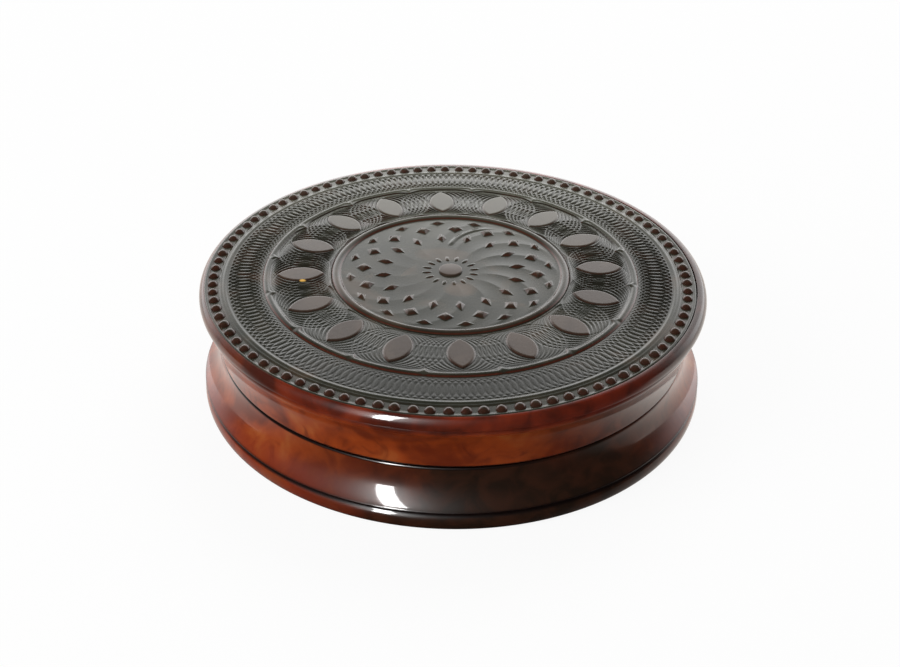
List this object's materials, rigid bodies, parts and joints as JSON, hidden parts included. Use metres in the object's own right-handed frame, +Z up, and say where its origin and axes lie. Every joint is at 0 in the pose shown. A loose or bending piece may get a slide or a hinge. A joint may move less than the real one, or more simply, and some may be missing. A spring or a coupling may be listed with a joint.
{
  "type": "round snuff box",
  "caption": "Round turned burr-wood snuff box with waisted sides, a lift-off lid and an engine-turned rosette top.",
  "frame": {"origin": "centre of the underside of the foot, on the turning axis", "axes": "+Z up along the turning axis, towards the lid; -Y is the side that faces the picture's camera"},
  "size_m": [0.0856, 0.0856, 0.0214],
  "materials": {
    "burr_wood": "polished red-brown burr wood",
    "dark_panel": "dark satin patina with worn red-brown tops",
    "horn_lining": "polished dark horn"
  },
  "bodies": {
    "base": {"base_body": "burr_wood", "base_lining_disc": "horn_lining", "neck_hoop": "horn_lining"},
    "lid": {"lid_body": "burr_wood", "lid_panel": "dark_panel", "lid_lining_disc": "horn_lining", "lid_lining_hoop": "horn_lining"}
  },
  "joints": [
    {"name": "lid_lift", "type": "slide", "parent": "base", "child": "lid", "axis": [0, 0, 1], "range_m": [0, 0.035]}
  ]
}
